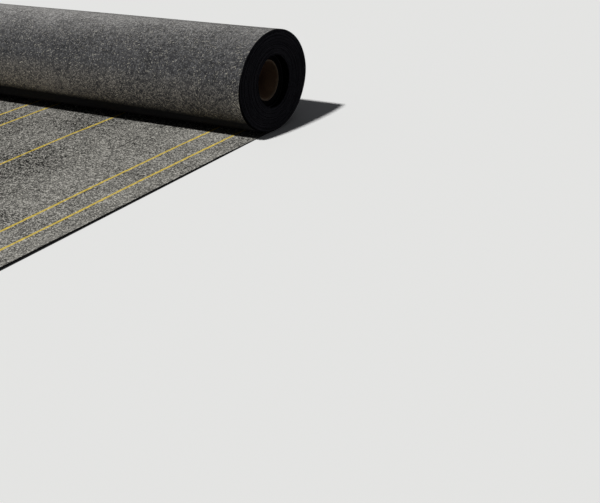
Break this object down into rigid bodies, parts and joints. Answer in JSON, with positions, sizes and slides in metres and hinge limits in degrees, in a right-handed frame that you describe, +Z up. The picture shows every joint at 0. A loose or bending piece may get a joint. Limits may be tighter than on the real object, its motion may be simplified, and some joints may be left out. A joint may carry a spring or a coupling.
{
  "type": "roll of roofing felt",
  "caption": "Part-used roll of dark roofing felt lying on its side, wound on a cardboard tube, with its loose end laid out flat from under it.",
  "frame": {"origin": "middle of the bounding box's underside, on the ground", "axes": "+X along the roll towards the end that stands open to the viewer, +Y level, away from the laid end, +Z up"},
  "size_m": [1.014, 0.804, 0.173],
  "materials": {
    "felt": "bitumen-saturated felt, matt charcoal with pale mineral flecks",
    "cardboard": "plain brown spiral-wound cardboard"
  },
  "bodies": {
    "root": {"felt_roll": "felt", "core_tube": "cardboard"}
  },
  "joints": []
}
